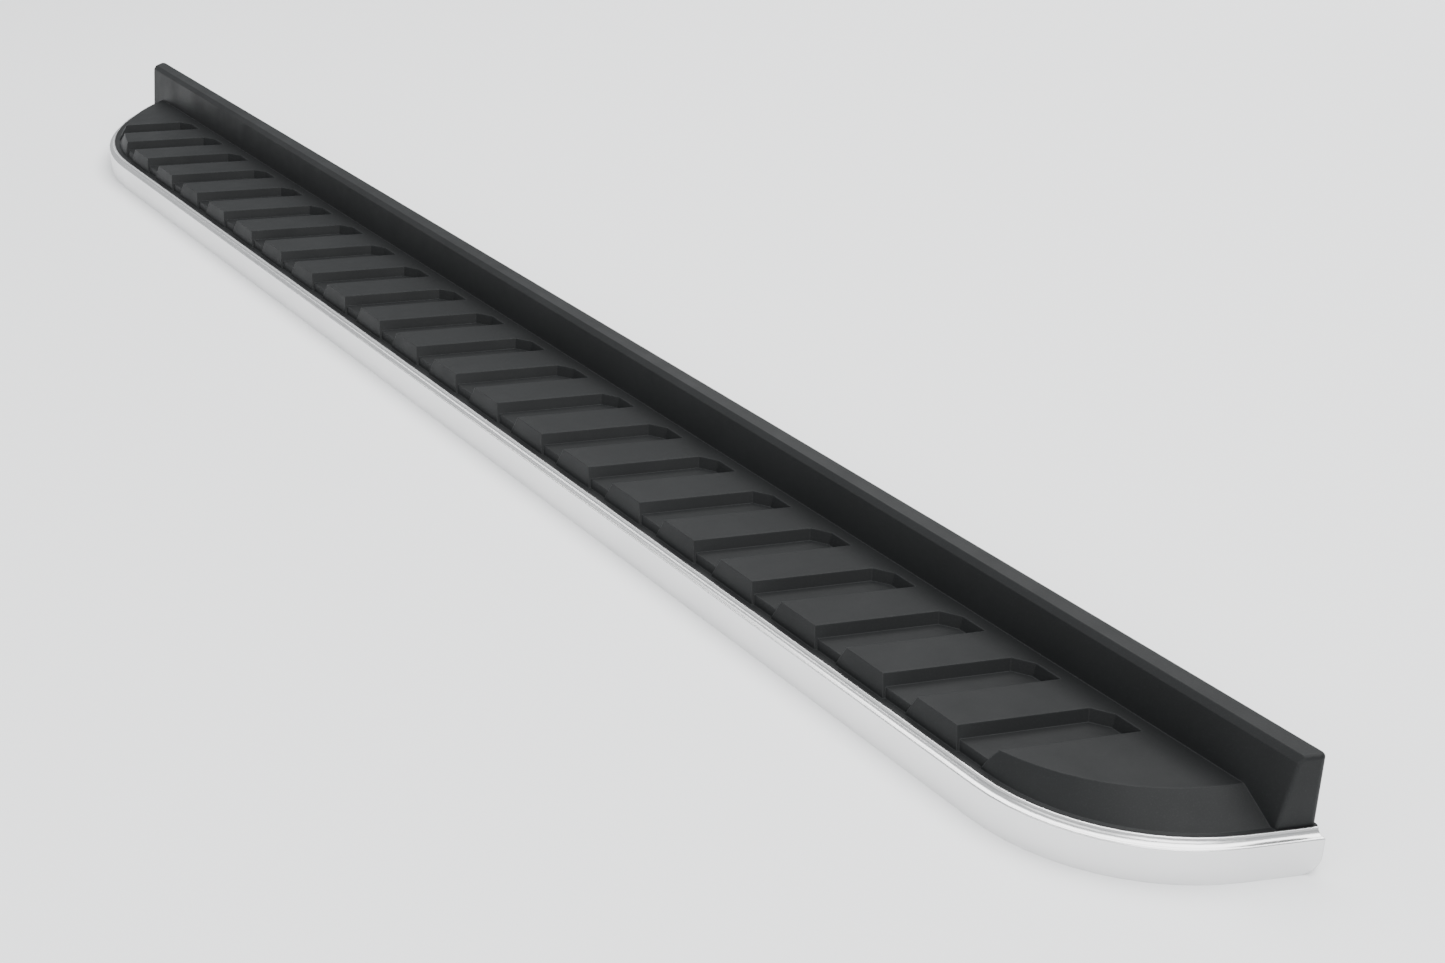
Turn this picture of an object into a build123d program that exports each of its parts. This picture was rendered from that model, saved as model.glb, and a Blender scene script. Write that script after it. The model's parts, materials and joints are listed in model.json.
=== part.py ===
"""Vehicle running board: moulded tread cover on an extruded beam, with a bright edge trim.

X runs along the board, +Y points inboard (towards the vehicle), +Z is up.
The origin is the centre of the footprint at the bottom of the trim. Millimetres.
"""
from build123d import *

import os
from math import cos, radians, sin, tan

# ---- heights -----------------------------------------------------------------
TREAD_Z = 43.5          # top of the flat tread
LEDGE_Z = 28.0          # narrow ledge at the foot of the flank
WALL_TOP_Z = 77.0       # top of the upright rear wall
SKIRT_Z = 2.0           # lower edge of the cover's skirt
GROOVE_FLOOR_Z = 35.0

# ---- plan --------------------------------------------------------------------
# Seen from outboard, the left end is cut back further than the right one.
LEFT, RIGHT = -1, 1
SIDE_NAMES = {LEFT: "left", RIGHT: "right"}
RAKE = {LEFT: 36.0, RIGHT: 23.0}
CREASE_Y = 45.7         # line where the tread meets the wall
REAR_Y = 68.5           # back of the wall
RIM_Y = -62.0           # outboard edge of the cover, where the trim starts
RIM_X = {LEFT: 890.3, RIGHT: 897.3}          # its ends, measured on the crease line
RIM_RADIUS = {LEFT: 245.0, RIGHT: 142.0}
LEDGE = 5.0             # ledge width
TREAD_Y = -53.7         # outboard edge of the flat tread
TREAD_X = {LEFT: 858.5, RIGHT: 865.5}
TREAD_RADIUS = {LEFT: 215.0, RIGHT: 142.0}
SHELL = 3.0             # wall thickness of the cover

# ---- rear wall -----------------------------------------------------------------
WALL_LEAN = tan(radians(8.8))       # front face leans back
WALL_CHAMFER = 3.6
WALL_END_INSET = 1.5                # the wall's ends stand almost on the rim
WALL_REAR_CORNER = 4.0
WALL_SOFT_EDGE = 2.5
SKIRT_REAR_CORNER = 3.0

# ---- grooves -------------------------------------------------------------------
PITCH = 72.0
GROOVES = 22
FIRST_GROOVE_X = -756.4             # bend of the first groove
BEND_Y = 27.5                       # where the slanted run ends
HOOK_Y = 36.0                       # closed inboard end
SLANT = tan(radians(20.8))
GROOVE_WIDTH = 34.0                 # measured along the board
CHAMFER_X = 14.5                    # the bend's short diagonal, along the board
GROOVE_DRAFT = 20.0
RECESS = 1.7                        # a groove leaves the flank this much further in

# ---- trim ----------------------------------------------------------------------
TRIM_SHEET = 1.2
TRIM_WIDTH = 6.5                    # from the rim to the outer face
TRIM_LIP_Z = LEDGE_Z + 1.0
TRIM_LIP = 1.0                      # flat on top of the lip
TRIM_ROLL = 1.3                     # outer roll into the vertical face
TRIM_COVE = TRIM_WIDTH - TRIM_LIP - TRIM_ROLL        # radius of the hollow shoulder
TRIM_HEM = 11.5                     # inward flange at the bottom
TRIM_END_RADIUS = 12.0
TRIM_END_Y = REAR_Y - 3
SEAL_WIDTH, SEAL_HEIGHT = 1.6, 0.8

# ---- trim clips ------------------------------------------------------------------
CLIP_SHEET = 0.8
CLIP_LENGTH = 18.0
CLIP_PITCH = 160.0
CLIP_COUNT = 9
CLIP_LEG_Z = 13.0
RAKED_CLIP_Y = 50.0

# ---- beam ----------------------------------------------------------------------
BEAM_X = {LEFT: 735.0, RIGHT: 788.0}       # beam ends, from the middle
BEAM_Z0, BEAM_Z1 = 3.0, 29.0
BEAM_Y0, BEAM_Y1 = -46.0, 56.0
BEAM_SKIN = 2.2
FRONT_FLANGE_Y, REAR_FLANGE_Y = -57.5, 65.0
FLANGE_Z = LEDGE_Z - SHELL          # flanges bear on the underside of the ledge
FRONT_FLANGE_X = {LEFT: 700.0, RIGHT: 753.0}
CHANNEL_Y = {"outer": -24.0, "inner": 32.0}
MOUTH = 9.0                         # slot mouth, clears an M8 bolt
CHANNEL_WIDTH = 17.5
LIP = 2.5
CHANNEL_ROOF_Z = 13.0
MIDDLE_WEB_Y = 4.0
PLUG_PLATE = 3.0
PLUG_SPIGOT = 10.0
PLUG_GAP = 0.2
PLUG_CORNER, PLUG_EDGE = 1.5, 0.8
FOAM_Y = (-38.0, 12.0)
FOAM_WIDTH = 12.0
SETBACK = 32.0                      # strips and stiffener end this far inside the beam
PAD_Z = GROOVE_FLOOR_Z - SHELL      # underside of the grooves and ribs

# ---- wall stiffener ----------------------------------------------------------------
STIFFENER_SHEET = 2.0
STIFFENER_FOOT_Y = 43.0
STIFFENER_LEG_Y = 54.5
STIFFENER_TOP_Z = 62.0
STIFFENER_TOP_Y = 64.5

# ---- end brackets ------------------------------------------------------------------
BRACKET_LAP = 28.0                  # overlap on the beam
BRACKET_SHEET = 3.0
BRACKET_Y = -44.0
BRACKET_X = {LEFT: 858.0, RIGHT: 867.5}
BRACKET_RADIUS = {LEFT: 190.0, RIGHT: 120.0}
BRACKET_REAR_Y = 55.5
POSTS = {LEFT: [(800.0, 6.0), (824.0, 34.0)], RIGHT: [(831.5, 6.0), (845.5, 34.0)]}
BRACKET_LIP_Z = 20.0
BRACKET_LIP_GAP = 9.0               # from the beam's end to the start of the lip

# ---- mounting stations -----------------------------------------------------------
STATION_X = {"left": -560.0, "middle": 0.0, "right": 560.0}
NUT_LENGTH, NUT_WIDTH, NUT_HEIGHT = 24.0, 16.5, 5.0
NUT_GAP = 0.1
THREAD_RADIUS = 3.4                 # M8 tapping size
SPRING_SHEET = 0.5
SPRING_WIDTH = 13.0
SPRING_HALF = 9.0
SPRING_HOLE = 4.2

# ---- fasteners -------------------------------------------------------------------
SCREW_RADIUS = 2.1
SCREW_HEAD_RADIUS, SCREW_HEAD_HEIGHT = 4.0, 2.2
SCREW_HEX_RADIUS, SCREW_HEX_DEPTH = 1.7, 1.4
SCREW_REACH = 8.0                   # length inside its boss
SCREW_CLEARANCE = 2.5
WASHER_RADIUS, WASHER_THICKNESS = 4.2, 1.0
BOSS_RADIUS = 4.2
FRONT_SCREW_Y = -51.0
FRONT_BOSS_TOP_Z = 36.0
REAR_SCREW_Y = 60.7
REAR_BOSS_TOP_Z = 50.0
GUSSET = 3.0
SCREW_EVERY = 2                     # one pair of screws every two grooves
RIVET_RADIUS = 2.0
RIVET_HEAD_RADIUS, RIVET_HEAD_HEIGHT = 3.5, 1.1
RIVET_BULB_RADIUS, RIVET_BULB_LENGTH = 2.6, 2.2
STIFFENER_RIVET_Y = 48.4
STIFFENER_RIVET_PITCH = 180.0
STIFFENER_RIVET_COUNT = 9
BRACKET_RIVET_SETBACK = 15.0
BRACKET_RIVET_Y = (-39.4, -8.0, 14.0, 48.4)

# ---- ribs under the tread ----------------------------------------------------------
RIB = 2.4
RIB_OFFSET = 53.0                   # from a groove's bend to the middle of the next block
RIB_Y0, RIB_Y1 = -52.0, 40.0


def end_x(side, distance, y, inset=0.0):
    """X of a raked end line that crosses the crease line at a distance from the middle."""
    rake = radians(RAKE[side])
    return side * (distance - inset / cos(rake) + (y - CREASE_Y) * tan(rake))


def end_corners(y, distances, inset):
    """Left and right ends of a line along the board at a given Y."""
    return [(end_x(side, distances[side], y, inset), y) for side in (LEFT, RIGHT)]


def plan_outline(outboard_y, distances, radii, inset=0.0, rear_y=REAR_Y):
    """Face bounded by the outboard edge, two rounded corners, the raked ends and a rear line."""
    front = end_corners(outboard_y + inset, distances, inset)
    rear = end_corners(rear_y, distances, inset)
    with BuildSketch() as outline:
        with BuildLine():
            Polyline(rear[0], *front, rear[1], close=True)
        make_face()
        fillet(vertices().group_by(Axis.Y)[0].sort_by(Axis.X)[0], radii[LEFT] - inset)
        fillet(vertices().group_by(Axis.Y)[0].sort_by(Axis.X)[-1], radii[RIGHT] - inset)
    return outline.sketch


def rim_outline(inset=0.0, rear_y=REAR_Y):
    return plan_outline(RIM_Y, RIM_X, RIM_RADIUS, inset, rear_y)


def tread_outline(inset=0.0):
    return plan_outline(TREAD_Y, TREAD_X, TREAD_RADIUS, inset, REAR_Y - 8)


def flank_outline(height, inset=0.0):
    """Outline of the flank at a height between the ledge and the tread."""
    share = (height - LEDGE_Z) / (TREAD_Z - LEDGE_Z)
    foot_y = RIM_Y + LEDGE
    distances = {}
    radii = {}
    for side in (LEFT, RIGHT):
        foot_x = RIM_X[side] - LEDGE / cos(radians(RAKE[side]))
        distances[side] = foot_x + share * (TREAD_X[side] - foot_x)
        radii[side] = RIM_RADIUS[side] - LEDGE
    return plan_outline(foot_y + share * (TREAD_Y - foot_y), distances, radii, inset, REAR_Y - 8)


def wall_section(height, inset=0.0):
    """Plan section of the upright wall at a height."""
    front_y = CREASE_Y + (height - TREAD_Z) * WALL_LEAN + inset
    front = end_corners(front_y, RIM_X, WALL_END_INSET + inset)
    rear = end_corners(REAR_Y - inset, RIM_X, WALL_END_INSET + inset)
    with BuildSketch() as section:
        with BuildLine():
            Polyline(*front, rear[1], rear[0], close=True)
        make_face()
    return section.sketch


def groove_outline(x, margin=0.0):
    """Plan of one groove: slanted run, short diagonal, then a hook along the board."""
    outer_y = RIM_Y - 8
    run = (BEND_Y - outer_y) * SLANT
    tip_x = x + (HOOK_Y - BEND_Y) * SLANT + GROOVE_WIDTH
    with BuildSketch() as outline:
        with BuildLine():
            Polyline(
                (x - run, outer_y),
                (x, BEND_Y),
                (x + CHAMFER_X, HOOK_Y),
                (tip_x, HOOK_Y),
                (x - run + GROOVE_WIDTH, outer_y),
                close=True,
            )
        make_face()
        if margin:
            offset(amount=margin, kind=Kind.INTERSECTION, mode=Mode.REPLACE)
    return outline.sketch


def wall_form(top_z, inset=0.0):
    """Upright wall from the ledge up, with rounded rear corners."""
    bottom_z = LEDGE_Z - inset
    with BuildPart() as form:
        with BuildSketch(Plane.XY.offset(bottom_z)):
            add(wall_section(LEDGE_Z, inset))
        with BuildSketch(Plane.XY.offset(top_z)):
            add(wall_section(top_z + inset, inset))
        loft(ruled=True)
        corners = edges().filter_by_position(Axis.Z, bottom_z + 5, top_z - 5)
        fillet(corners.group_by(Axis.Y)[-1], WALL_REAR_CORNER - inset)
    return form.part


def save(part, name):
    part.label = name
    export_step(part, f"parts/{name}.step")


groove_x = [FIRST_GROOVE_X + i * PITCH for i in range(GROOVES)]
block_x = [x + RIB_OFFSET for x in [FIRST_GROOVE_X - PITCH, *groove_x]]
screw_blocks = block_x[2:-2:SCREW_EVERY]
front_screw_x = [x - (BEND_Y - FRONT_SCREW_Y) * SLANT for x in screw_blocks]
front_screws = [(x, FRONT_SCREW_Y) for x in front_screw_x]
rear_screws = [(x, REAR_SCREW_Y) for x in front_screw_x]
posts = [(side * x, y) for side in (LEFT, RIGHT) for x, y in POSTS[side]]
os.makedirs("parts", exist_ok=True)

# ---- step cover ------------------------------------------------------------------
# The grooves stop at their floor, and at the flank they keep a core just behind it.
with BuildPart() as groove_core:
    with BuildSketch(Plane.XY.offset(LEDGE_Z)):
        add(flank_outline(LEDGE_Z, RECESS))
    with BuildSketch(Plane.XY.offset(GROOVE_FLOOR_Z)):
        add(flank_outline(GROOVE_FLOOR_Z, RECESS))
    loft(ruled=True)

with BuildPart() as groove_cutter:
    for x in groove_x:
        with BuildSketch(Plane.XY.offset(TREAD_Z)):
            add(groove_outline(x))
        extrude(amount=LEDGE_Z - TREAD_Z, taper=GROOVE_DRAFT)
    add(groove_core.part, mode=Mode.SUBTRACT)

# Material kept under each groove when the cover is hollowed out.
with BuildPart() as groove_trough:
    for x in groove_x:
        with BuildSketch(Plane.XY.offset(TREAD_Z)):
            add(groove_outline(x, margin=SHELL))
        extrude(amount=GROOVE_FLOOR_Z - SHELL - TREAD_Z, taper=GROOVE_DRAFT)

with BuildPart() as cover_wall:
    add(wall_form(WALL_TOP_Z))
    top = faces().sort_by(Axis.Z)[-1]
    chamfer(top.edges().sort_by(Axis.Y)[0], WALL_CHAMFER)
    end_faces = faces().filter_by(lambda f: abs(f.normal_at().X) > 0.7)
    fillet(end_faces.edges().filter_by(lambda e: e.center().Z > LEDGE_Z + 1), WALL_SOFT_EDGE)

with BuildPart() as cover_hollow:
    with BuildSketch():
        add(rim_outline(SHELL, REAR_Y - SHELL))
    extrude(amount=LEDGE_Z - SHELL)
    with BuildSketch(Plane.XY.offset(LEDGE_Z - SHELL)):
        add(flank_outline(LEDGE_Z, SHELL))
    with BuildSketch(Plane.XY.offset(TREAD_Z - SHELL)):
        add(tread_outline(SHELL))
    loft(ruled=True)
    add(groove_trough.part, mode=Mode.SUBTRACT)
    add(wall_form(WALL_TOP_Z - SHELL, SHELL))

# Slanted ribs stiffen the blocks and stand on the beam's foam strips.
with BuildPart() as cover_ribs:
    with BuildSketch(Plane.XY.offset(PAD_Z)):
        for x in block_x:
            with BuildLine():
                Polyline(
                    (x - (BEND_Y - RIB_Y0) * SLANT - RIB / 2, RIB_Y0),
                    (x - (BEND_Y - RIB_Y0) * SLANT + RIB / 2, RIB_Y0),
                    (x - (BEND_Y - RIB_Y1) * SLANT + RIB / 2, RIB_Y1),
                    (x - (BEND_Y - RIB_Y1) * SLANT - RIB / 2, RIB_Y1),
                    close=True,
                )
            make_face()
        add(tread_outline(SHELL / 2), mode=Mode.INTERSECT)
    extrude(amount=TREAD_Z - SHELL / 2 - PAD_Z)

with BuildPart() as step_cover:
    with BuildSketch(Plane.XY.offset(SKIRT_Z)):
        add(rim_outline())
        fillet(vertices().group_by(Axis.Y)[-1], SKIRT_REAR_CORNER)
    extrude(amount=LEDGE_Z - SKIRT_Z)
    with BuildSketch(Plane.XY.offset(LEDGE_Z)):
        add(flank_outline(LEDGE_Z))
    with BuildSketch(Plane.XY.offset(TREAD_Z)):
        add(tread_outline())
    loft(ruled=True)
    add(groove_cutter.part, mode=Mode.SUBTRACT)
    add(cover_wall.part)
    add(cover_hollow.part, mode=Mode.SUBTRACT)
    add(cover_ribs.part)
    # Screw bosses over the beam's two flanges and over the end brackets.
    with BuildSketch(Plane.XY.offset(FLANGE_Z)):
        with Locations(*front_screws):
            Circle(BOSS_RADIUS)
    extrude(amount=FRONT_BOSS_TOP_Z - FLANGE_Z)
    with BuildSketch(Plane.XY.offset(FLANGE_Z)):
        with Locations(*rear_screws):
            Circle(BOSS_RADIUS)
        with Locations(*[(x, REAR_Y - SHELL - GUSSET / 2) for x, y in rear_screws]):
            Rectangle(GUSSET, 2 * GUSSET)
    extrude(amount=REAR_BOSS_TOP_Z - FLANGE_Z)
    with BuildSketch(Plane.XY.offset(BEAM_Z1 + BRACKET_SHEET)):
        with Locations(*posts):
            Circle(BOSS_RADIUS)
    extrude(amount=TREAD_Z - SHELL / 2 - BEAM_Z1 - BRACKET_SHEET)
    with BuildSketch(Plane.XY.offset(FLANGE_Z)):
        with Locations(*front_screws, *rear_screws):
            Circle(SCREW_RADIUS)
    extrude(amount=SCREW_REACH, mode=Mode.SUBTRACT)
    with BuildSketch(Plane.XY.offset(BEAM_Z1 + BRACKET_SHEET)):
        with Locations(*posts):
            Circle(SCREW_RADIUS)
    extrude(amount=SCREW_REACH, mode=Mode.SUBTRACT)
save(step_cover.part, "step_cover")

# ---- edge trim and its seal --------------------------------------------------------
# On this plane local x points outboard from the rim and local y is height.
RIM_SECTION = Plane(origin=(0, RIM_Y, 0), x_dir=(0, -1, 0), z_dir=(-1, 0, 0))
inner_face = TRIM_WIDTH - TRIM_SHEET
cove_z = TRIM_LIP_Z - TRIM_COVE
roll_z = cove_z - TRIM_ROLL


def rim_path(side):
    """Half of the rim, from the middle of the board round one corner."""
    past_y = REAR_Y + 10
    with BuildLine() as path:
        FilletPolyline(
            (0, RIM_Y),
            (end_x(side, RIM_X[side], RIM_Y), RIM_Y),
            (end_x(side, RIM_X[side], past_y), past_y),
            radius=RIM_RADIUS[side],
        )
    return path.line


def trim_section():
    """Lip on the seal, hollow shoulder, outer roll, vertical face and inward hem."""
    with BuildSketch() as section:
        with BuildLine():
            Polyline((0, roll_z + TRIM_SHEET), (0, TRIM_LIP_Z), (TRIM_LIP, TRIM_LIP_Z))
            RadiusArc((TRIM_LIP, TRIM_LIP_Z), (TRIM_LIP + TRIM_COVE, cove_z), -TRIM_COVE)
            RadiusArc((TRIM_WIDTH - TRIM_ROLL, cove_z), (TRIM_WIDTH, roll_z), TRIM_ROLL)
            Polyline(
                (TRIM_WIDTH, roll_z),
                (TRIM_WIDTH, 0),
                (TRIM_WIDTH - TRIM_HEM, 0),
                (TRIM_WIDTH - TRIM_HEM, TRIM_SHEET),
                (inner_face, TRIM_SHEET),
                (inner_face, roll_z),
            )
            Line((inner_face, roll_z), (0, roll_z + TRIM_SHEET))
        make_face()
    return section.sketch


def seal_section():
    """Quarter-round bead on the ledge, against the trim's lip."""
    with BuildSketch() as section:
        with BuildLine():
            Line((-SEAL_WIDTH, LEDGE_Z), (0, LEDGE_Z))
            Line((0, LEDGE_Z), (0, LEDGE_Z + SEAL_HEIGHT))
            RadiusArc((0, LEDGE_Z + SEAL_HEIGHT), (-SEAL_WIDTH, LEDGE_Z), -SEAL_WIDTH)
        make_face()
    return section.sketch


with BuildPart() as side_trim:
    for side in (LEFT, RIGHT):
        with BuildSketch(RIM_SECTION):
            add(trim_section())
        sweep(path=rim_path(side))
    split(bisect_by=Plane.XZ.offset(-TRIM_END_Y), keep=Keep.TOP)
    # The lower rear corners are rounded off.
    with BuildSketch(Plane.YZ):
        with BuildLine():
            Polyline(
                (TRIM_END_Y - TRIM_END_RADIUS, -1),
                (TRIM_END_Y + 1, -1),
                (TRIM_END_Y + 1, TRIM_END_RADIUS),
                (TRIM_END_Y, TRIM_END_RADIUS),
            )
            round_end = (TRIM_END_Y - TRIM_END_RADIUS, 0)
            RadiusArc((TRIM_END_Y, TRIM_END_RADIUS), round_end, TRIM_END_RADIUS)
            Line(round_end, (TRIM_END_Y - TRIM_END_RADIUS, -1))
        make_face()
    extrude(amount=2 * RIM_X[RIGHT], both=True, mode=Mode.SUBTRACT)
save(side_trim.part, "side_trim")

with BuildPart() as trim_seal:
    for side in (LEFT, RIGHT):
        with BuildSketch(RIM_SECTION):
            add(seal_section())
        sweep(path=rim_path(side))
    split(bisect_by=Plane.XZ.offset(-TRIM_END_Y), keep=Keep.TOP)
save(trim_seal.part, "trim_seal")


def clip_section():
    """Spring clip: a channel pushed onto the skirt, with an arm out to the trim."""
    back = -SHELL - CLIP_SHEET
    with BuildSketch() as section:
        with BuildLine():
            Polyline(
                (back, SKIRT_Z - CLIP_SHEET),
                (CLIP_SHEET, SKIRT_Z - CLIP_SHEET),
                (CLIP_SHEET, CLIP_LEG_Z - 2 * CLIP_SHEET),
                (inner_face, CLIP_LEG_Z - 4),
                (inner_face, CLIP_LEG_Z - 3),
                (CLIP_SHEET, CLIP_LEG_Z),
                (0, CLIP_LEG_Z),
                (0, SKIRT_Z),
                (-SHELL, SKIRT_Z),
                (-SHELL, CLIP_LEG_Z),
                (back, CLIP_LEG_Z),
                close=True,
            )
        make_face()
    return section.sketch


clip_x = [(i - (CLIP_COUNT - 1) / 2) * CLIP_PITCH for i in range(CLIP_COUNT)]


def end_clip_plane(side):
    """Plane across a raked end, with local x pointing out of the board."""
    rake = radians(RAKE[side])
    return Plane(
        origin=(end_x(side, RIM_X[side], RAKED_CLIP_Y), RAKED_CLIP_Y, 0),
        x_dir=(side * cos(rake), -sin(rake), 0),
        z_dir=(-sin(rake), -side * cos(rake), 0),
    )


with BuildPart() as trim_clips:
    for x in clip_x:
        with BuildSketch(Plane(origin=(x, RIM_Y, 0), x_dir=(0, -1, 0), z_dir=(-1, 0, 0))):
            add(clip_section())
        extrude(amount=CLIP_LENGTH / 2, both=True)
    for side in (LEFT, RIGHT):
        with BuildSketch(end_clip_plane(side)):
            add(clip_section())
        extrude(amount=CLIP_LENGTH / 2, both=True)
save(trim_clips.part, "trim_clips")

# ---- support beam ------------------------------------------------------------------
chamber_z0, chamber_z1 = BEAM_Z0 + BEAM_SKIN, BEAM_Z1 - BEAM_SKIN
flange_z0 = FLANGE_Z - BEAM_SKIN
slot_side = CHANNEL_WIDTH / 2 + BEAM_SKIN
outer_channel, inner_channel = CHANNEL_Y.values()
full_chambers = [
    (BEAM_Y0 + BEAM_SKIN, outer_channel - slot_side),
    (outer_channel + slot_side, MIDDLE_WEB_Y - BEAM_SKIN / 2),
    (MIDDLE_WEB_Y + BEAM_SKIN / 2, inner_channel - slot_side),
    (inner_channel + slot_side, BEAM_Y1 - BEAM_SKIN),
]


def block_section(y0, y1, z0, z1):
    """Rectangle in the YZ plane between two Y and two Z values."""
    with BuildSketch() as section:
        with Locations(((y0 + y1) / 2, (z0 + z1) / 2)):
            Rectangle(y1 - y0, z1 - z0)
    return section.sketch


beam_length = BEAM_X[LEFT] + BEAM_X[RIGHT]
beam_middle = (BEAM_X[RIGHT] - BEAM_X[LEFT]) / 2
rivet_x = [
    beam_middle + (i - (STIFFENER_RIVET_COUNT - 1) / 2) * STIFFENER_RIVET_PITCH
    for i in range(STIFFENER_RIVET_COUNT)
]
stiffener_rivet_spots = [(x, STIFFENER_RIVET_Y) for x in rivet_x]
bracket_rivet_spots = [
    (side * (BEAM_X[side] - BRACKET_RIVET_SETBACK), y)
    for side in (LEFT, RIGHT)
    for y in BRACKET_RIVET_Y
]

with BuildPart() as support_beam:
    with BuildSketch(Plane.YZ.offset(-BEAM_X[LEFT])):
        add(block_section(BEAM_Y0, BEAM_Y1, BEAM_Z0, BEAM_Z1))
        add(block_section(FRONT_FLANGE_Y, REAR_FLANGE_Y, flange_z0, FLANGE_Z))
        for y0, y1 in full_chambers:
            add(block_section(y0, y1, chamber_z0, chamber_z1), mode=Mode.SUBTRACT)
        for y in CHANNEL_Y.values():
            half = CHANNEL_WIDTH / 2
            slot_roof = CHANNEL_ROOF_Z + BEAM_SKIN
            add(block_section(y - half, y + half, slot_roof, chamber_z1), mode=Mode.SUBTRACT)
            lip_top = BEAM_Z0 + LIP
            add(block_section(y - half, y + half, lip_top, CHANNEL_ROOF_Z), mode=Mode.SUBTRACT)
            mouth = block_section(y - MOUTH / 2, y + MOUTH / 2, BEAM_Z0, lip_top)
            add(mouth, mode=Mode.SUBTRACT)
    extrude(amount=beam_length)
    with BuildSketch(Plane.XY.offset(flange_z0)):
        with Locations(*front_screws, *rear_screws):
            Circle(SCREW_CLEARANCE)
        # The board's corners are round, so the front flange stops short of the beam's ends.
        notch_width = BEAM_Y0 - FRONT_FLANGE_Y
        for side in (LEFT, RIGHT):
            notch = BEAM_X[side] - FRONT_FLANGE_X[side]
            notch_x = side * (BEAM_X[side] - notch / 2)
            with Locations((notch_x, BEAM_Y0 - notch_width / 2)):
                Rectangle(notch, notch_width)
    extrude(amount=BEAM_SKIN, mode=Mode.SUBTRACT)
    with BuildSketch(Plane.XY.offset(chamber_z1)):
        with Locations(*stiffener_rivet_spots, *bracket_rivet_spots):
            Circle(RIVET_RADIUS)
    extrude(amount=BEAM_SKIN, mode=Mode.SUBTRACT)
save(support_beam.part, "support_beam")

# ---- beam end plugs ------------------------------------------------------------------
spigot_z1 = CHANNEL_ROOF_Z + 5
for side, side_name in SIDE_NAMES.items():
    with BuildPart() as beam_plug:
        with BuildSketch(Plane.YZ.offset(side * BEAM_X[side])):
            add(block_section(BEAM_Y0, BEAM_Y1, BEAM_Z0, BEAM_Z1 - PLUG_GAP))
        extrude(amount=side * PLUG_PLATE)
        fillet(edges().filter_by(Axis.X), PLUG_CORNER)
        fillet(faces().sort_by(lambda face: side * face.center().X)[-1].edges(), PLUG_EDGE)
        with BuildSketch(Plane.YZ.offset(side * BEAM_X[side])):
            for y0, y1 in full_chambers[1:3]:
                add(block_section(y0 + PLUG_GAP, y1 - PLUG_GAP, chamber_z0 + PLUG_GAP, spigot_z1))
        extrude(amount=-side * PLUG_SPIGOT)
    save(beam_plug.part, f"{side_name}_beam_plug")


# ---- rivets --------------------------------------------------------------------------
def rivet_shanks(spots, top_z):
    """Shanks from the head's seat down, with bulbs that grip under the beam's top skin."""
    with BuildPart() as shanks:
        with BuildSketch(Plane.XY.offset(chamber_z1)):
            with Locations(*spots):
                Circle(RIVET_RADIUS)
        extrude(amount=top_z - chamber_z1)
        with BuildSketch(Plane.XY.offset(chamber_z1)):
            with Locations(*spots):
                Circle(RIVET_BULB_RADIUS)
        extrude(amount=-RIVET_BULB_LENGTH, taper=10)
    return shanks.part


with BuildPart() as stiffener_rivets:
    seat_z = BEAM_Z1 + STIFFENER_SHEET
    add(rivet_shanks(stiffener_rivet_spots, seat_z))
    with BuildSketch(Plane.XY.offset(seat_z)):
        with Locations(*stiffener_rivet_spots):
            Circle(RIVET_HEAD_RADIUS)
    extrude(amount=RIVET_HEAD_HEIGHT, taper=20)
save(stiffener_rivets.part, "stiffener_rivets")

# Heads sunk flush, because the grooves' undersides lie on the brackets.
with BuildPart() as bracket_rivets:
    seat_z = BEAM_Z1 + BRACKET_SHEET
    add(rivet_shanks(bracket_rivet_spots, seat_z))
    with BuildSketch(Plane.XY.offset(seat_z)):
        with Locations(*bracket_rivet_spots):
            Circle(RIVET_HEAD_RADIUS)
    extrude(amount=RIVET_RADIUS - RIVET_HEAD_RADIUS, taper=45)
save(bracket_rivets.part, "bracket_rivets")

# ---- end brackets --------------------------------------------------------------------
def bracket_outline(inset=0.0):
    return plan_outline(BRACKET_Y, BRACKET_X, BRACKET_RADIUS, inset, BRACKET_REAR_Y)


for side, side_name in SIDE_NAMES.items():
    with BuildPart() as end_bracket:
        with BuildSketch(Plane.XY.offset(BEAM_Z1)):
            add(bracket_outline())
        extrude(amount=BRACKET_SHEET)
        # A lip turned down round the free edge stiffens the plate.
        with BuildSketch(Plane.XY.offset(BRACKET_LIP_Z)):
            add(bracket_outline())
            add(bracket_outline(BRACKET_SHEET), mode=Mode.SUBTRACT)
            with Locations((side * (BEAM_X[side] + BRACKET_LIP_GAP - BRACKET_X[side]), 0)):
                Rectangle(2 * BRACKET_X[side], 4 * REAR_Y, mode=Mode.SUBTRACT)
        extrude(amount=BEAM_Z1 - BRACKET_LIP_Z)
        split(
            bisect_by=Plane.YZ.offset(side * (BEAM_X[side] - BRACKET_LAP)),
            keep=Keep.TOP if side == RIGHT else Keep.BOTTOM,
        )
        with BuildSketch(Plane.XY.offset(BEAM_Z1)):
            with Locations(*posts):
                Circle(SCREW_CLEARANCE)
        extrude(amount=BRACKET_SHEET, mode=Mode.SUBTRACT)
        add(bracket_rivets.part, mode=Mode.SUBTRACT)
    save(end_bracket.part, f"{side_name}_end_bracket")

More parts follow.
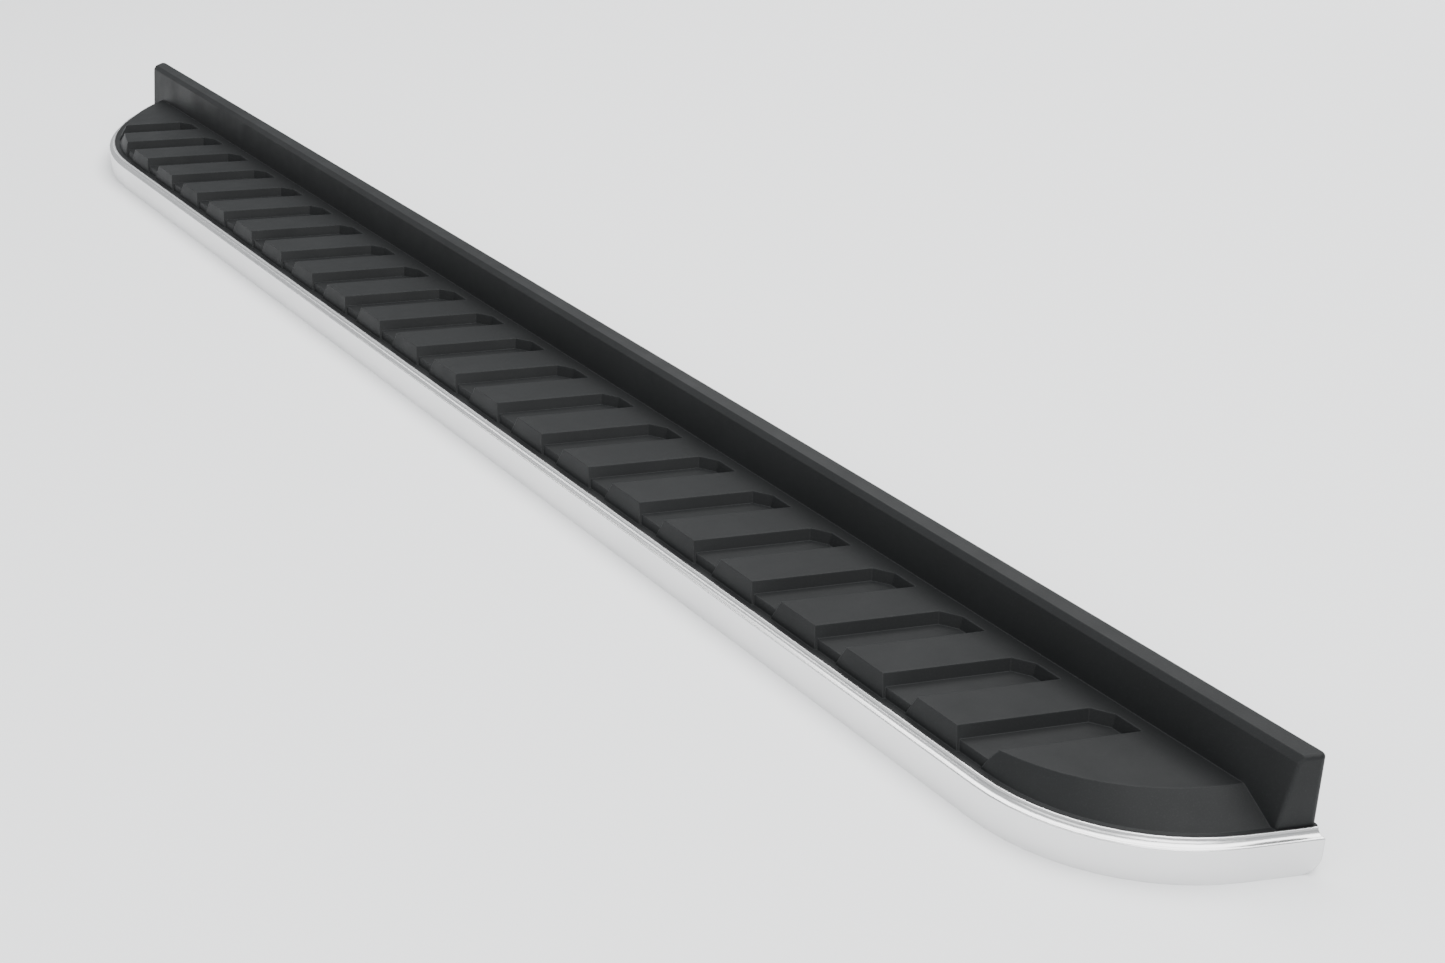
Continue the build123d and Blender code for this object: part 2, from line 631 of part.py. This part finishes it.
# ---- wall stiffener ------------------------------------------------------------------
stiffener_leg_front = STIFFENER_LEG_Y - STIFFENER_SHEET
with BuildPart() as wall_stiffener:
    with BuildSketch(Plane.YZ.offset(SETBACK - BEAM_X[LEFT])):
        add(block_section(STIFFENER_FOOT_Y, STIFFENER_LEG_Y, BEAM_Z1, BEAM_Z1 + STIFFENER_SHEET))
        add(block_section(stiffener_leg_front, STIFFENER_LEG_Y, BEAM_Z1, STIFFENER_TOP_Z))
        add(
            block_section(
                stiffener_leg_front,
                STIFFENER_TOP_Y,
                STIFFENER_TOP_Z - STIFFENER_SHEET,
                STIFFENER_TOP_Z,
            )
        )
    extrude(amount=beam_length - 2 * SETBACK)
    with BuildSketch(Plane.XY.offset(BEAM_Z1)):
        with Locations(*stiffener_rivet_spots):
            Circle(RIVET_RADIUS)
    extrude(amount=STIFFENER_SHEET, mode=Mode.SUBTRACT)
save(wall_stiffener.part, "wall_stiffener")

# ---- foam strips ---------------------------------------------------------------------
with BuildPart() as foam_strips:
    with BuildSketch(Plane.XY.offset(BEAM_Z1)):
        with Locations(*[(beam_middle, y) for y in FOAM_Y]):
            Rectangle(beam_length - 2 * SETBACK, FOAM_WIDTH)
    extrude(amount=PAD_Z - BEAM_Z1)
save(foam_strips.part, "foam_strips")


# ---- cover screws and washers --------------------------------------------------------
screw_groups = [
    ([*front_screws, *rear_screws], flange_z0, FLANGE_Z),
    (posts, BEAM_Z1, BEAM_Z1 + BRACKET_SHEET),
]

with BuildPart() as screw_washers:
    for spots, seat_z, _ in screw_groups:
        with BuildSketch(Plane.XY.offset(seat_z)):
            with Locations(*spots):
                Circle(WASHER_RADIUS)
                Circle(SCREW_RADIUS, mode=Mode.SUBTRACT)
        extrude(amount=-WASHER_THICKNESS)
save(screw_washers.part, "screw_washers")

with BuildPart() as cover_screws:
    for spots, seat_z, boss_z in screw_groups:
        head_z = seat_z - WASHER_THICKNESS
        with BuildSketch(Plane.XY.offset(head_z)):
            with Locations(*spots):
                Circle(SCREW_RADIUS)
        extrude(amount=boss_z + SCREW_REACH - head_z)
        with BuildSketch(Plane.XY.offset(head_z)):
            with Locations(*spots):
                Circle(SCREW_HEAD_RADIUS)
        extrude(amount=-SCREW_HEAD_HEIGHT, taper=12)
        with BuildSketch(Plane.XY.offset(head_z - SCREW_HEAD_HEIGHT)):
            with Locations(*spots):
                RegularPolygon(SCREW_HEX_RADIUS, 6)
        extrude(amount=SCREW_HEX_DEPTH, mode=Mode.SUBTRACT)
save(cover_screws.part, "cover_screws")

# ---- channel nuts and their springs --------------------------------------------------
nut_z = BEAM_Z0 + LIP + NUT_GAP
spring_top_z = CHANNEL_ROOF_Z - NUT_GAP
for station, x in STATION_X.items():
    for row, y in CHANNEL_Y.items():
        with BuildPart() as channel_nut:
            with BuildSketch(Plane.XY.offset(nut_z)):
                with Locations((x, y)):
                    RectangleRounded(NUT_LENGTH, NUT_WIDTH, 1.5)
                    Circle(THREAD_RADIUS, mode=Mode.SUBTRACT)
            extrude(amount=NUT_HEIGHT)
        save(channel_nut.part, f"{station}_{row}_nut")

        # A bowed leaf between the nut and the channel roof holds the nut where it is put.
        foot_z = nut_z + NUT_HEIGHT
        with BuildPart() as nut_spring:
            with BuildSketch(Plane.XZ.offset(-y)):
                with BuildLine():
                    outer = ThreePointArc(
                        (x - SPRING_HALF, foot_z), (x, spring_top_z), (x + SPRING_HALF, foot_z)
                    )
                    inner = ThreePointArc(
                        (x - SPRING_HALF + 2, foot_z),
                        (x, spring_top_z - SPRING_SHEET),
                        (x + SPRING_HALF - 2, foot_z),
                    )
                    Line(outer @ 0, inner @ 0)
                    Line(outer @ 1, inner @ 1)
                make_face()
            extrude(amount=SPRING_WIDTH / 2, both=True)
            with BuildSketch(Plane.XY.offset(foot_z)):
                with Locations((x, y)):
                    Circle(SPRING_HOLE)
            extrude(amount=CHANNEL_ROOF_Z - foot_z, mode=Mode.SUBTRACT)
        save(nut_spring.part, f"{station}_{row}_spring")
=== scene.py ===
"""Looks of the running board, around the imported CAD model.

Materials with softened edges, a plain studio, and the camera at the photograph's angle.
Lengths are in metres and light powers in watts.
"""

import json
from math import radians

import bpy
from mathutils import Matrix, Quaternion, Vector


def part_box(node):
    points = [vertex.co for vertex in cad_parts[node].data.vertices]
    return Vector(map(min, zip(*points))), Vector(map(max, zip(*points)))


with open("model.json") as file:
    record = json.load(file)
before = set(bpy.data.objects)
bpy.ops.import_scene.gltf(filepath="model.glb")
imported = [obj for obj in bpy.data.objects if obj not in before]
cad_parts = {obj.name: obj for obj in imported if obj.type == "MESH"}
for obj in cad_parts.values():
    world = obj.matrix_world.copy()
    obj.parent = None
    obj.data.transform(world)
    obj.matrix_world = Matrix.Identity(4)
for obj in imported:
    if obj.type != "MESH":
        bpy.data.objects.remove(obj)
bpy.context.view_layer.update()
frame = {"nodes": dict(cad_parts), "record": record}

# ---- camera ----------------------------------------------------------------------
EYE = Vector((1.5014, -0.7731, 0.7258))
VIEW_DIRECTION = Vector((-0.7348, 0.5135, -0.4431))
ROLL = radians(0.65)
FOCAL_LENGTH = 50.7                 # mm
SENSOR_WIDTH = 36                   # mm
CLIP_END = 100

# ---- studio values ---------------------------------------------------------------
FLOOR_HALF = 30.0                   # half the floor's side
FLOOR_COLOUR = (0.90, 0.905, 0.91, 1)
SKY_COLOUR = (0.95, 0.975, 1.0, 1)
SKY_STRENGTH = 0.7
LIGHTS = (                          # name, place, target, size, power
    ("overhead", (0.2, 0.9, 3.0), (0.1, 0.2, 0), (5.0, 3.0), 240),
    ("back_strip", (-1.0, 2.4, 0.55), (0, 0.06, 0.06), (3.6, 0.35), 16),
    ("side_light", (2.4, -1.0, 1.1), (0.2, 0, 0.03), (1.4, 1.2), 30),
    ("front_strip", (-2.3, -1.7, 1.7), (0, -0.06, 0.03), (1.6, 0.5), 12),
    ("front_fill", (1.0, -2.4, 1.5), (0, 0, 0.03), (2.0, 1.2), 16),
)

# ---- node helpers ----------------------------------------------------------------
MIX_A, MIX_B, MIX_RESULT = 6, 7, 2  # the colour sockets of a Mix node, by place
EDGE_TURN_LOW, EDGE_TURN_HIGH = 0.02, 0.25      # 1 - cosine, where an edge starts and is full


class Shader:
    """A material being built: its node tree, Principled shader and object coordinates."""

    def __init__(self, name, **sockets):
        self.material = bpy.data.materials.new(name)
        self.material.use_nodes = True
        self.tree = self.material.node_tree
        self.principled = self.tree.nodes["Principled BSDF"]
        self.coords = self.add("ShaderNodeTexCoord").outputs["Object"]
        for socket, value in sockets.items():
            self.principled.inputs[socket.replace("_", " ")].default_value = value

    def add(self, kind, **values):
        node = self.tree.nodes.new(kind)
        for key, value in values.items():
            setattr(node, key, value)
        return node

    def link(self, source, target):
        self.tree.links.new(source, target)

    def noise(self, scale, detail=2.0, roughness=0.5, stretch=(1, 1, 1)):
        """Noise in metres: scale is features per metre."""
        mapping = self.add("ShaderNodeMapping")
        mapping.inputs["Scale"].default_value = stretch
        self.link(self.coords, mapping.inputs["Vector"])
        texture = self.add("ShaderNodeTexNoise")
        texture.inputs["Scale"].default_value = scale
        texture.inputs["Detail"].default_value = detail
        texture.inputs["Roughness"].default_value = roughness
        self.link(mapping.outputs["Vector"], texture.inputs["Vector"])
        return texture.outputs["Fac"]

    def ramp(self, source, *stops):
        """Maps a value through (position, colour) stops. A plain number is a grey."""
        node = self.add("ShaderNodeValToRGB")
        elements = node.color_ramp.elements
        while len(elements) < len(stops):
            elements.new(1.0)
        for element, (position, colour) in zip(elements, stops):
            element.position = position
            element.color = colour if isinstance(colour, tuple) else (colour, colour, colour, 1)
        self.link(source, node.inputs["Fac"])
        return node.outputs["Color"]

    def mix(self, share, first, second):
        """The first colour where share is 0, the second where it is 1."""
        node = self.add("ShaderNodeMix", data_type="RGBA")
        self.link(share, node.inputs["Factor"])
        for socket, value in ((node.inputs[MIX_A], first), (node.inputs[MIX_B], second)):
            if isinstance(value, tuple):
                socket.default_value = value
            else:
                self.link(value, socket)
        return node.outputs[MIX_RESULT]

    def edge_mask(self, radius):
        """1 along convex and concave edges, 0 on flats, from how far a rounded normal turns."""
        rounded = self.add("ShaderNodeBevel", samples=4)
        rounded.inputs["Radius"].default_value = radius
        geometry = self.add("ShaderNodeNewGeometry")
        dot = self.add("ShaderNodeVectorMath", operation="DOT_PRODUCT")
        self.link(rounded.outputs["Normal"], dot.inputs[0])
        self.link(geometry.outputs["Normal"], dot.inputs[1])
        return self.ramp(
            dot.outputs["Value"], (1 - EDGE_TURN_HIGH, 1.0), (1 - EDGE_TURN_LOW, 0.0)
        )

    def height(self):
        node = self.add("ShaderNodeSeparateXYZ")
        self.link(self.coords, node.inputs["Vector"])
        return node.outputs["Z"]

    def rise(self, source, low, high):
        """0 below a low value, 1 above a high one."""
        node = self.add("ShaderNodeMapRange")
        node.inputs["From Min"].default_value = low
        node.inputs["From Max"].default_value = high
        self.link(source, node.inputs["Value"])
        return node.outputs["Result"]

    def bump(self, height, distance, strength=1.0, after=None):
        node = self.add("ShaderNodeBump")
        node.inputs["Distance"].default_value = distance
        node.inputs["Strength"].default_value = strength
        self.link(height, node.inputs["Height"])
        if after is not None:
            self.link(after, node.inputs["Normal"])
        return node.outputs["Normal"]

    def soft_normal(self, radius):
        """The normal of edges rounded off at a radius."""
        node = self.add("ShaderNodeBevel", samples=6)
        node.inputs["Radius"].default_value = radius
        return node.outputs["Normal"]

    def into(self, source, socket):
        self.link(source, self.principled.inputs[socket])


def grey(value, tint=(1.0, 1.0, 1.0)):
    return tuple(value * part for part in tint) + (1.0,)


# ---- materials -------------------------------------------------------------------
COOL = (0.94, 1.0, 1.03)                        # the cover plastic's tint
LIP_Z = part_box("side_trim")[1].z                # top of the trim's lip
SHOULDER_DEPTH = 0.0055                         # the hollow shoulder and the roll, as in the CAD
ROLL_Z = LIP_Z - SHOULDER_DEPTH                 # foot of the roll, polished from here up
ROLL_FADE = 0.0008                              # satin turns polished over this height
HOLLOW_REFLECTION_START = 0.45                             # share of the depth where the painted reflection's grey starts
LIP_FADE_START, LIP_FADE_END = 0.0004, 0.0002   # below the lip's top, where its painted highlight fades in


def cover_plastic():
    """Grained near-black moulded plastic, a little paler along its edges: partly rubbed wear,
    partly a painted highlight.
    """
    shader = Shader("cover_plastic", Specular_IOR_Level=0.15)
    mottle = shader.ramp(
        shader.noise(scale=9, detail=4), (0.3, grey(0.0100, COOL)), (0.7, grey(0.0130, COOL))
    )
    speckle = shader.noise(scale=1400, detail=1)
    flecked = shader.mix(shader.ramp(speckle, (0.55, 0.0), (0.8, 0.5)), mottle, grey(0.022, COOL))
    # paler edges: partly rubbed wear, partly a painted highlight on the corners
    wear_and_sheen = shader.mix(shader.edge_mask(radius=0.0012), flecked, grey(0.028, COOL))
    shader.into(wear_and_sheen, "Base Color")
    rough = shader.ramp(shader.noise(scale=30, detail=3), (0.3, 0.46), (0.7, 0.56))
    shader.into(rough, "Roughness")
    soft = shader.soft_normal(radius=0.0009)
    grain = shader.noise(scale=1100, detail=3, roughness=0.6)
    grain = shader.bump(grain, distance=0.00012, strength=0.35, after=soft)
    shader.into(grain, "Normal")
    return shader.material


def bright_trim():
    """Anodised aluminium: a paler lip, partly polish and partly a painted highlight; a hollow
    shoulder greyed as a painted reflection of the dark plastic beside it; a polished roll; a
    satin face.

    One bent sheet in the CAD, so the bands follow its height.
    """
    shader = Shader("bright_trim", Metallic=1.0)
    height = shader.height()
    bright = shader.ramp(
        shader.noise(scale=5, detail=4), (0.3, grey(0.74, (1, 1.0, 1.005))), (0.7, grey(0.80))
    )
    # painted reflection: the upper hollow shoulder is darkened to grey, standing in for the dark
    # plastic reflected in it
    hollow = shader.rise(
        height, low=ROLL_Z + SHOULDER_DEPTH * HOLLOW_REFLECTION_START, high=ROLL_Z + SHOULDER_DEPTH
    )
    # paler lip top: partly polish, partly a painted highlight
    lip = shader.rise(height, low=LIP_Z - LIP_FADE_START, high=LIP_Z - LIP_FADE_END)
    hollow_painted_reflection = shader.mix(hollow, bright, grey(0.20))
    shader.into(shader.mix(lip, hollow_painted_reflection, grey(0.92)), "Base Color")
    satin = shader.ramp(shader.noise(scale=22, detail=5), (0.3, 0.34), (0.7, 0.42))
    polished = shader.rise(height, low=ROLL_Z - ROLL_FADE, high=ROLL_Z)
    shader.into(shader.mix(polished, satin, grey(0.26)), "Roughness")
    soft = shader.soft_normal(radius=0.0007)
    grain = shader.noise(scale=3000, detail=1)
    shader.into(shader.bump(grain, distance=0.00002, strength=0.3, after=soft), "Normal")
    return shader.material


def rubber(name, value):
    """Matt dark rubber or soft plastic."""
    shader = Shader(name, Specular_IOR_Level=0.35)
    tone = shader.ramp(shader.noise(scale=60), (0.3, grey(value)), (0.7, grey(value * 1.5)))
    shader.into(tone, "Base Color")
    shader.into(shader.ramp(shader.noise(scale=25), (0.3, 0.55), (0.7, 0.75)), "Roughness")
    grain = shader.noise(scale=1800, detail=2)
    shader.into(shader.bump(grain, distance=0.00008, strength=0.3), "Normal")
    return shader.material


def foam():
    """Closed-cell foam: round cells a millimetre across."""
    shader = Shader("foam", Roughness=0.95, Specular_IOR_Level=0.2)
    cells = shader.add("ShaderNodeTexVoronoi")
    cells.inputs["Scale"].default_value = 900
    shader.link(shader.coords, cells.inputs["Vector"])
    tone = shader.ramp(cells.outputs["Distance"], (0.0, grey(0.03)), (0.7, grey(0.08)))
    shader.into(tone, "Base Color")
    shader.into(shader.bump(cells.outputs["Distance"], distance=0.0003, strength=0.7), "Normal")
    return shader.material


def drawn_metal(name, value, roughness, stretch=(0.02, 1, 1), tint=(1, 1, 1)):
    """Metal with fine lines: a small stretch along an axis draws them out along it."""
    shader = Shader(name, Metallic=1.0)
    lines = shader.noise(scale=1600, detail=3, roughness=0.7, stretch=stretch)
    tone = shader.ramp(lines, (0.3, grey(value * 0.86, tint)), (0.7, grey(value, tint)))
    stain = shader.ramp(shader.noise(scale=14, detail=5), (0.45, 0.0), (0.75, 0.5))
    shader.into(shader.mix(stain, tone, grey(value * 0.8, tint)), "Base Color")
    wear_and_sheen = shader.ramp(
        shader.noise(scale=35, detail=4), (0.3, roughness), (0.7, roughness + 0.14)
    )
    shader.into(wear_and_sheen, "Roughness")
    soft = shader.soft_normal(radius=0.0003)
    shader.into(shader.bump(lines, distance=0.00002, strength=0.4, after=soft), "Normal")
    return shader.material


def coated_steel():
    """Black powder coat with orange peel and rubbed edges."""
    shader = Shader("coated_steel", Specular_IOR_Level=0.5)
    base = shader.ramp(shader.noise(scale=12, detail=3), (0.3, grey(0.022)), (0.7, grey(0.032)))
    shader.into(shader.mix(shader.edge_mask(radius=0.0008), base, grey(0.07)), "Base Color")
    shader.into(shader.ramp(shader.noise(scale=40), (0.3, 0.38), (0.7, 0.5)), "Roughness")
    soft = shader.soft_normal(radius=0.0005)
    peel = shader.noise(scale=500, detail=1)
    shader.into(shader.bump(peel, distance=0.0001, strength=0.25, after=soft), "Normal")
    return shader.material


materials = {
    "cover_plastic": cover_plastic(),
    "bright_trim": bright_trim(),
    "seal_rubber": rubber("seal_rubber", 0.012),
    "plug_plastic": rubber("plug_plastic", 0.02),
    "foam": foam(),
    "beam_aluminium": drawn_metal("beam_aluminium", 0.70, 0.32),
    "rivet_aluminium": drawn_metal("rivet_aluminium", 0.72, 0.34, stretch=(1, 1, 1)),
    "spring_steel": drawn_metal("spring_steel", 0.40, 0.30, tint=(1.0, 0.98, 0.95)),
    "zinc_steel": drawn_metal(
        "zinc_steel", 0.62, 0.28, stretch=(1, 1, 1), tint=(0.98, 1.0, 1.03)
    ),
    "coated_steel": coated_steel(),
}

for part in frame["record"]["subparts"]:
    mesh = frame["nodes"][part["node"]].data
    mesh.materials.clear()
    mesh.materials.append(materials[part["material_slot"]])


# ---- studio ----------------------------------------------------------------------
def studio_floor():
    half = FLOOR_HALF
    mesh = bpy.data.meshes.new("studio_floor")
    corners = [(-half, -half, 0), (half, -half, 0), (half, half, 0), (-half, half, 0)]
    mesh.from_pydata(corners, [], [(0, 1, 2, 3)])
    shader = Shader("studio_floor", Roughness=0.9, Specular_IOR_Level=0.1)
    shader.principled.inputs["Base Color"].default_value = FLOOR_COLOUR
    mesh.materials.append(shader.material)
    floor = bpy.data.objects.new("studio_floor", mesh)
    bpy.context.scene.collection.objects.link(floor)


def area_light(name, place, target, size, power):
    data = bpy.data.lights.new(name, "AREA")
    data.shape = "RECTANGLE"
    data.size, data.size_y = size
    data.energy = power
    lamp = bpy.data.objects.new(name, data)
    lamp.location = place
    lamp.rotation_euler = (Vector(target) - Vector(place)).to_track_quat("-Z", "Y").to_euler()
    bpy.context.scene.collection.objects.link(lamp)


def sky():
    world = bpy.data.worlds.new("studio_sky")
    world.use_nodes = True
    background = world.node_tree.nodes["Background"]
    background.inputs["Color"].default_value = SKY_COLOUR
    background.inputs["Strength"].default_value = SKY_STRENGTH
    bpy.context.scene.world = world


def camera():
    data = bpy.data.cameras.new("camera")
    data.lens = FOCAL_LENGTH
    data.sensor_width = SENSOR_WIDTH
    data.clip_end = CLIP_END
    eye = bpy.data.objects.new("camera", data)
    eye.location = EYE
    turn = VIEW_DIRECTION.to_track_quat("-Z", "Y") @ Quaternion((0, 0, 1), ROLL)
    eye.rotation_euler = turn.to_euler()
    bpy.context.scene.collection.objects.link(eye)
    bpy.context.scene.camera = eye


studio_floor()
sky()
for light in LIGHTS:
    area_light(*light)
camera()
